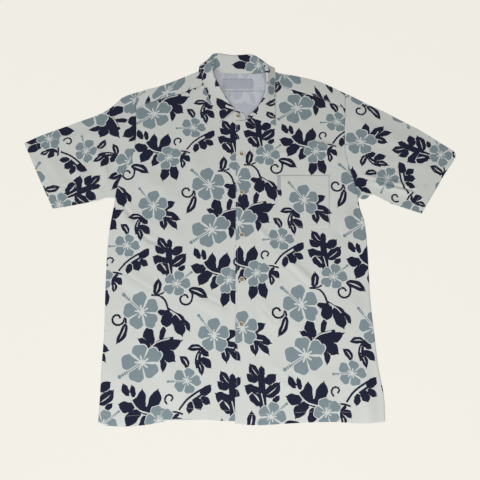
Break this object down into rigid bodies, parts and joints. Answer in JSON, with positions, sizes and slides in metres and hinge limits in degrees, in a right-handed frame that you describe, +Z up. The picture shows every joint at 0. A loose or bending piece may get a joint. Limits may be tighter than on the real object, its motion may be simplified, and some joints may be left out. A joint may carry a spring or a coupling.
{
  "type": "hawaiian shirt",
  "caption": "Short-sleeved button-front shirt with an open collar, a yoke and a chest pocket, printed with flowers and leaves and laid flat with its front up; covers the upper body.",
  "frame": {"origin": "middle of the shirt's outline, on the surface that it lies on", "axes": "+X towards the wearer's left sleeve, +Y towards the collar, +Z up from the surface"},
  "size_m": [0.9944, 0.8546, 0.0191],
  "materials": {
    "printed_cloth": "plain-woven cotton, off-white with a navy and grey-green print",
    "tab_cloth": "woven tape, bare",
    "label_cloth": "woven label, bare",
    "button_shell": "cream rim and tan middle, polished"
  },
  "bodies": {
    "root": {"back_panel": "printed_cloth", "yoke": "printed_cloth", "front_right": "printed_cloth", "front_left": "printed_cloth", "sleeve_right": "printed_cloth", "sleeve_left": "printed_cloth", "collar": "printed_cloth", "pocket": "printed_cloth", "pocket_tab": "tab_cloth", "neck_label": "label_cloth", "button_1": "button_shell", "button_2": "button_shell", "button_3": "button_shell", "button_4": "button_shell", "button_5": "button_shell", "button_6": "button_shell"}
  },
  "joints": []
}
